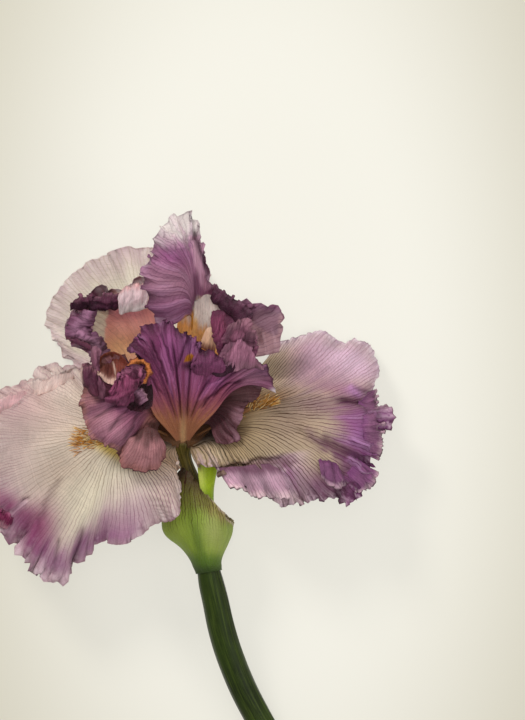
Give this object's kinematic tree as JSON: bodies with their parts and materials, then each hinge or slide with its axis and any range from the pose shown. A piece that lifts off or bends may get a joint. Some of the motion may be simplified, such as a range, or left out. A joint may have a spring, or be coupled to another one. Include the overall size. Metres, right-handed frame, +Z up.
{
  "type": "iris flower",
  "caption": "Cut bearded iris bloom lying on its back: ruffled veined falls and standards, petal-like style arms, a green spathe round the ovary and a curved stalk.",
  "frame": {"origin": "on the surface it lies on, under the middle of the whole flower's bounding box", "axes": "+Y from the cut end of the stalk towards the top of the bloom, +X to the bloom's right seen from above its face, +Z up from the surface"},
  "size_m": [0.1598, 0.2238, 0.0628],
  "materials": {
    "fall": "satin",
    "standard": "satin",
    "style_arm": "satin",
    "stamen": "matte",
    "ovary": "satin",
    "spathe": "satin",
    "stalk": "satin"
  },
  "bodies": {
    "root": {"fall_left": "fall", "fall_right": "fall", "fall_back": "fall", "standard_front": "standard", "standard_left": "standard", "standard_right": "standard", "style_arm_left": "style_arm", "style_arm_right": "style_arm", "style_arm_back": "style_arm", "stamen_left": "stamen", "stamen_right": "stamen", "stamen_back": "stamen", "ovary": "ovary", "spathe_outer": "spathe", "spathe_inner": "spathe", "stem": "stalk"}
  },
  "joints": []
}
